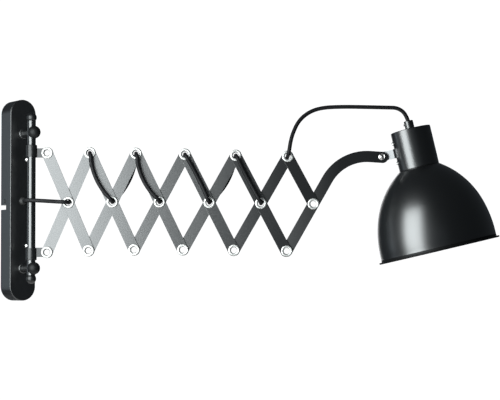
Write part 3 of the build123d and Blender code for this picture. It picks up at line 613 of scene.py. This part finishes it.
bulb_socket = next(mount for mount in frame["record"]["mounts"] if mount["name"] == "bulb_socket")
DOWN = Vector(bulb_socket["axis"]).normalized()
socket_mouth = Vector(bulb_socket["pos_m"])
cap_mouth = socket_mouth - DOWN * SOCKET_DEPTH
ON_SHADE = Matrix.Translation(cap_mouth) @ DOWN.to_track_quat("Z", "Y").to_matrix().to_4x4()
print("the head leans", round(degrees(DOWN.angle(-UP)), 1), "degrees from upright")

# %% [markdown]
# The shade is spun from sheet: two arcs that run into each other, and a flange whose rim is rolled into a
# bead. A sphere squashed to size would miss the change from the dome to the steeper skirt, so the profile
# is worked out from the places where the arcs meet.

# %% Arcs of a profile
def arc_rings(centre, first, last, count):
    """Rings along an arc from first to last, each (radius, depth), the last one left out."""
    start = first - centre
    sweep = start.angle_signed(last - centre)
    rings = []
    for i in range(count):
        spot = centre + Matrix.Rotation(-sweep * i / count, 2) @ start
        rings.append((spot.x, spot.y))
    return rings


def circle_centre(a, b, c):
    """Centre of the circle through three points."""
    u, v = b - a, c - a
    cross = 2 * (u.x * v.y - u.y * v.x)
    square_u, square_v = u.length_squared, v.length_squared
    return a + Vector((v.y * square_u - u.y * square_v, u.x * square_v - v.x * square_u)) / cross


# %% Profile of the shade
NECK = Vector((0.0306, 0.0))  # radius and depth, where the dome begins
DOME_MIDDLE = Vector((0.0618, 0.0303))  # about halfway down the dome
DOME_END = Vector((0.0796, 0.0654))  # where the skirt begins
SKIRT_END = Vector((0.0878, 0.1230))
SHADE_LENGTH = 0.1287
RIM_R = 0.0920
BEAD_R = 0.0013
SHADE_WALL = 0.0010
HOLDER_HOLE = 0.0195
DOME_RINGS = 16
SKIRT_RINGS = 10
BEAD_RINGS = 11
BEAD_START = 120  # degrees round the bead, from straight out, where the flange meets it
BEAD_STEP = 27

dome_centre = circle_centre(NECK, DOME_MIDDLE, DOME_END)
outward = (DOME_END - dome_centre).normalized()
skirt = SKIRT_END - DOME_END
skirt_centre = DOME_END + outward * skirt.length_squared / (2 * skirt.dot(outward))
outside = arc_rings(dome_centre, NECK, DOME_END, DOME_RINGS)
outside += arc_rings(skirt_centre, DOME_END, SKIRT_END, SKIRT_RINGS)
inside = []
for i, (radius, depth) in enumerate(outside + [tuple(SKIRT_END)]):
    arc_centre = dome_centre if i < DOME_RINGS else skirt_centre
    inward = (arc_centre - Vector((radius, depth))).normalized() * SHADE_WALL
    inside.append((radius + inward.x, max(depth + inward.y, SHADE_WALL)))
flange = [
    tuple(SKIRT_END),
    (SKIRT_END.x + 0.0002, SHADE_LENGTH - 2.4 * BEAD_R),
    (SKIRT_END.x + 0.0008, SHADE_LENGTH - 1.7 * BEAD_R),
]
bead = []
for step in range(BEAD_RINGS):
    angle = radians(BEAD_START - BEAD_STEP * step)
    bead.append((RIM_R - BEAD_R + BEAD_R * cos(angle), SHADE_LENGTH - BEAD_R - BEAD_R * sin(angle)))
under = [
    (SKIRT_END.x + 0.0006, SHADE_LENGTH - 0.9 * BEAD_R),
    (SKIRT_END.x - SHADE_WALL, SHADE_LENGTH - 2.2 * BEAD_R),
]
hole = [(HOLDER_HOLE, SHADE_WALL)]
shade_rings = [(HOLDER_HOLE, 0.0)] + outside + flange + bead + under + inside[::-1] + hole
print("the shade's profile has", len(shade_rings), "rings")

# %% [markdown]
# The profile is turned, and the rim gets the flatter paint, because the photograph shows no light on it.

# %% Shade
RIM_PAINT = 0.0003  # below the skirt's end, where the flatter paint begins

shade = turned("shade_spun", shade_rings, sides=128)
shade.data.materials.append(GLOSS)
shade.data.materials.append(BEAD_BLACK)  # 1, the rim
for face in shade.data.polygons:
    if face.center.z > SKIRT_END.y + RIM_PAINT:
        face.material_index = 1
shade.data.transform(ON_SHADE)
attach(shade, "shade_head")
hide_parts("shade")

# %% [markdown]
# The cap is a cup that stands on the shade's neck with its mouth down. A bevelled cylinder would do, but
# its smooth shading would smear the long highlight over the whole side. Two holding rings close to the
# edges keep the side straight, so the highlight stays even.

# %% Cap
CAP_R = 0.0303
CAP_LENGTH = 0.0591
CAP_WALL = 0.0012
NIPPLE_HOLE = 0.0052
MOUTH_EASE = 0.0003
TOP_EASE = 0.0008
HOLDING = 0.0010  # from an edge to its holding ring

cap_rings = [
    (CAP_R - CAP_WALL, 0.0),
    (CAP_R - 0.0002, 0.0),
    (CAP_R, -MOUTH_EASE),
    (CAP_R, -HOLDING),
    (CAP_R, TOP_EASE + HOLDING - CAP_LENGTH),
    (CAP_R, TOP_EASE - CAP_LENGTH),
    (CAP_R - 0.00025, 0.0003 - CAP_LENGTH),
    (CAP_R - TOP_EASE, -CAP_LENGTH),
    (NIPPLE_HOLE, -CAP_LENGTH),
    (NIPPLE_HOLE, CAP_WALL - CAP_LENGTH),
    (CAP_R - CAP_WALL, CAP_WALL - CAP_LENGTH),
]
cap = turned("cap_turned", cap_rings, sides=96)
cap.data.materials.append(GLOSS)
cap.data.transform(ON_SHADE)
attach(cap, "shade_head")
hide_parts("cap")

# %% [markdown]
# The shade tilts on a screw at the arm's tip. Its head is a dome that rises from a collar with a shallow
# groove between them, which shows as a ring of light round a bright centre. The head starts just clear of
# the arm and the shank is a little thinner than its hole, so the arm turns freely on it.

# %% Tilt screw
HEAD = 0.0032  # height of the head
HEAD_R = 0.0051
HEAD_GAP = 0.0001
SHANK_R = 0.0024
CENTRE_R = 0.0003  # of the small flat that closes each end
DOME = [  # radius, and depth below the top of the head
    (CENTRE_R, 0.0),
    (0.0012, 0.00010),
    (0.0022, 0.00050),
    (0.0029, 0.00120),
    (0.0032, 0.00200),
    (0.0036, 0.00215),
    (0.0042, 0.00185),
    (0.0048, 0.00210),
    (HEAD_R, 0.00250),
]

screw_points = [v.co for v in nodes["tilt_screw"].data.vertices]
screw_front = max((p - ROD).dot(VIEWER) for p in screw_points)
screw_back = min((p - ROD).dot(VIEWER) for p in screw_points)
screw_end = screw_back - screw_front + HEAD
shank = [(HEAD_R, HEAD_GAP), (SHANK_R, HEAD_GAP), (SHANK_R, screw_end), (CENTRE_R, screw_end)]
screw = turned("tilt_screw_domed", [(radius, HEAD - depth) for radius, depth in DOME] + shank, closed=False)
screw.data.materials.append(NICKEL)
tilt_pivot = pivots["shade_tilt"]
head_seat = tilt_pivot + VIEWER * (screw_front - HEAD - (tilt_pivot - ROD).dot(VIEWER))
screw.data.transform(Matrix.Translation(head_seat) @ FACE_VIEWER)
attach(screw, "shade_head")
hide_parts("tilt_screw")

# %% [markdown]
# ## Cord
# One round flex leaves the wall box, weaves through the hollow rivets and arcs over to the cap. Its
# line is a smooth spline whose control points are the route that the cord takes. A bent pipe of runs and
# arcs would look like wire, so the tube is drawn along the spline itself. The lengths beside the bars ride
# on their bars. The inlet and the arc cross the joints, and each is made of two lengths.

# %% Cord tools
CORD_R = 0.003
CORD_SMOOTH = radians(50)  # the tube is smooth all round, its end faces aren't


def cord_line(name, points):
    """The smooth centreline of a route, as points read from its spline."""
    curve = bpy.data.curves.new(name, "CURVE")
    curve.dimensions = "3D"
    spline = curve.splines.new("NURBS")
    spline.points.add(len(points) - 1)
    for target, point in zip(spline.points, points):
        target.co = (*point, 1)
    spline.order_u = 3
    spline.use_endpoint_u = True
    spline.resolution_u = 10
    holder = bpy.data.objects.new(name, curve)
    bpy.context.scene.collection.objects.link(holder)
    bpy.context.view_layer.update()
    mesh = bpy.data.meshes.new_from_object(holder.evaluated_get(bpy.context.evaluated_depsgraph_get()))
    line = [v.co.copy() for v in mesh.vertices]
    bpy.data.meshes.remove(mesh)
    bpy.data.objects.remove(holder)
    bpy.data.curves.remove(curve)
    return line


def line_length(line):
    """Length of a centreline, in metres."""
    return sum((b - a).length for a, b in zip(line, line[1:]))


def cord_tube(name, line):
    """A round tube along a centreline, as a mesh with closed ends."""
    curve = bpy.data.curves.new(name, "CURVE")
    curve.dimensions = "3D"
    spline = curve.splines.new("POLY")
    spline.points.add(len(line) - 1)
    for target, point in zip(spline.points, line):
        target.co = (*point, 1)
    curve.bevel_depth = CORD_R
    curve.bevel_resolution = 7
    curve.use_fill_caps = True
    tube = bpy.data.objects.new(name, curve)
    bpy.context.scene.collection.objects.link(tube)
    bpy.ops.object.select_all(action="DESELECT")
    tube.select_set(True)
    bpy.context.view_layer.objects.active = tube
    bpy.ops.object.convert(target="MESH")
    tube = bpy.context.object
    bpy.ops.object.shade_smooth_by_angle(angle=CORD_SMOOTH)
    tube.data.materials.clear()
    tube.data.materials.append(SHEATH)
    return tube


# %% [markdown]
# On its way outward the cord runs down the falling bars in front of the lattice and up the rising bars
# behind it. Every length leaves its rivet square to the bars, rises to a crest, lies along the bar and
# dives into the next rivet. They could all be alike, but a real flex bows a little differently each time,
# so each has its own bow, sideways from the bar, and its own height over it.

# %% Cord beside the bars
GAP = 0.00015  # half of the gap between two lengths that meet inside a rivet
EXIT = 0.0057  # height up to which the cord rises straight out of a rivet
CREST = 0.0112  # height of its crest beside the rivet
TURN = 0.0056  # from a rivet's axis to the crest beside it
SHOULDER = 0.0165  # from a rivet's axis to where the cord has settled
SHOULDER_BOW = 0.62  # share of the bow that it has there
SHOULDER_CREST = 0.7  # share of the crest that it still has there
FRONT_LOOPS = {1: (-0.0077, 0.0102), 2: (-0.0082, 0.0100), 3: (0.0014, 0.0062), 4: (-0.0008, 0.0062)}
BACK_LOOPS = {0: (0.0, 0.0062), 1: (0.0086, 0.0060), 2: (0.0, 0.0062), 3: (0.0086, 0.0060), 4: (0.0, 0.0062)}
IN_FRONT = 1
BEHIND = -1


def strand(first, last, bow, height, side):
    """Control points of one length beside a bar: out of one rivet, along the bar and into the next."""
    run = (last - first).normalized()
    aside = run.cross(VIEWER).normalized()
    if aside.dot(ALONG) < 0:
        aside = -aside
    out = VIEWER * side
    settled = SHOULDER_CREST * CREST + (1 - SHOULDER_CREST) * height
    half = [(0, 0, GAP), (0, 0, EXIT), (TURN, 0, CREST), (SHOULDER, SHOULDER_BOW * bow, settled)]
    start = [first + run * step + aside * shift + out * rise for step, shift, rise in half]
    end = [last - run * step + aside * shift + out * rise for step, shift, rise in half]
    return start + [(first + last) / 2 + aside * bow + out * height] + end[::-1]


beside_bars = 0.0
for i, (bow, height) in FRONT_LOOPS.items():
    first, last = pivots[f"pivot_top_{i}"], pivots[f"pivot_middle_{i}"]
    line = cord_line("route", strand(first, last, bow, height, IN_FRONT))
    tube = cord_tube(f"cord_along_front_{i}", line)
    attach(tube, f"falling_{i}")
    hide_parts(f"cord_front_{i}")
    beside_bars += line_length(line)
for i, (bow, height) in BACK_LOOPS.items():
    first, last = pivots[f"pivot_middle_{i}"], pivots[f"pivot_top_{i + 1}"]
    line = cord_line("route", strand(first, last, bow, height, BEHIND))
    tube = cord_tube(f"cord_along_back_{i}", line)
    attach(tube, f"rising_{i}")
    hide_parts(f"cord_back_{i}")
    beside_bars += line_length(line)
print("beside the bars", round(beside_bars, 4), "m")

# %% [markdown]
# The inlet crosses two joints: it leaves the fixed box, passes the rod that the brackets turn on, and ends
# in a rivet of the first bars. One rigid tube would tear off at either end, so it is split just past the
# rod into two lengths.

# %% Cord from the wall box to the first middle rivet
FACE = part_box("wall_cover")[0].y
GLAND_LENGTH = 0.005
INLET_STRAIGHT = 0.0056
INLET_ROUTE = [(-0.0109, 0.0005), (-0.0062, 0.0106), (0.0080, 0.0130), (0.0280, 0.0120)]
INLET_DIP = 0.001  # it comes to the rivet this much below the crest
INLET_SPLIT = 0.52  # share of its length that is the near one

first_middle = pivots["pivot_middle_0"]
reach = (first_middle - ROD).dot(ALONG)
inlet_exit = Vector((0, FACE - GLAND_LENGTH, 0))
straight = Vector((0, FACE - GLAND_LENGTH - INLET_STRAIGHT, 0))
straight_along = (straight - ROD).dot(ALONG)
ending = [(reach - SHOULDER, CREST - INLET_DIP), (reach - TURN, CREST), (reach, EXIT), (reach, GAP)]
inlet = [inlet_exit, straight]
for along, viewer in INLET_ROUTE + ending:
    rise = first_middle.z * (along - straight_along) / (reach - straight_along)
    inlet.append(on_arm(along, rise, viewer))
inlet_line = cord_line("inlet", inlet)


def split_line(line, share):
    """Two stretches of a centreline that meet at a share of its length."""
    goal, run = line_length(line) * share, 0.0
    for i, (a, b) in enumerate(zip(line, line[1:])):
        run += (b - a).length
        if run >= goal:
            return line[: i + 2], line[i + 1 :]


near, far = split_line(inlet_line, INLET_SPLIT)
inlet_near = cord_tube("cord_inlet_near", near)
inlet_far = cord_tube("cord_inlet_far", far)
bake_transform(inlet_near)
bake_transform(inlet_far)
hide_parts("cord_inlet")
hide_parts("cord_inlet")
print("inlet", round(line_length(inlet_line), 4), "m")

# %% [markdown]
# From the last upper rivet the cord swings up and over to the cap, with enough spare length for the
# shade to tilt. It too is made of two lengths, a near one from the last upper rivet and a far one to the cap.
# Its route is a list of places from the last upper rivet: along, up, to the viewer.

# %% Cord from the last upper rivet over to the cap
ARC_ROUTE = [
    (0.0016, 0.0056, 0.0112),
    (0.0036, 0.0195, 0.0102),
    (0.0072, 0.0338, 0.0075),
    (0.0163, 0.0534, 0.0045),
    (0.0324, 0.0672, 0.0020),
    (0.0530, 0.0738, 0.0000),
    (0.0846, 0.0751, -0.0015),
    (0.1160, 0.0747, -0.0022),
    (0.1482, 0.0740, -0.0025),
    (0.1666, 0.0736, -0.0026),
]
ARC_STRAIGHT = 0.009  # above the gland on the cap
ARC_INSIDE = 0.006  # down into the gland
ARC_SPLIT = 0.42  # share of its length that is the near one

gland_points = [v.co for v in nodes["cord_gland"].data.vertices]
gland_top = max(-(p - socket_mouth).dot(DOWN) for p in gland_points)
last_top = pivots["pivot_top_5"]
arc = [last_top + VIEWER * GAP, last_top + VIEWER * EXIT]
for along, up, viewer in ARC_ROUTE:
    arc.append(last_top + ALONG * along + UP * up + VIEWER * viewer)
arc.append(socket_mouth - DOWN * (gland_top + ARC_STRAIGHT))
arc.append(socket_mouth - DOWN * (gland_top - ARC_INSIDE))
arc_line = cord_line("arc", arc)

near, far = split_line(arc_line, ARC_SPLIT)
arc_near = cord_tube("cord_arc_near", near)
arc_far = cord_tube("cord_arc_far", far)
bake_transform(arc_near)
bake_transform(arc_far)
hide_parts("cord_arc")
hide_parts("cord_arc")
print("arc", round(line_length(arc_line), 4), "m")
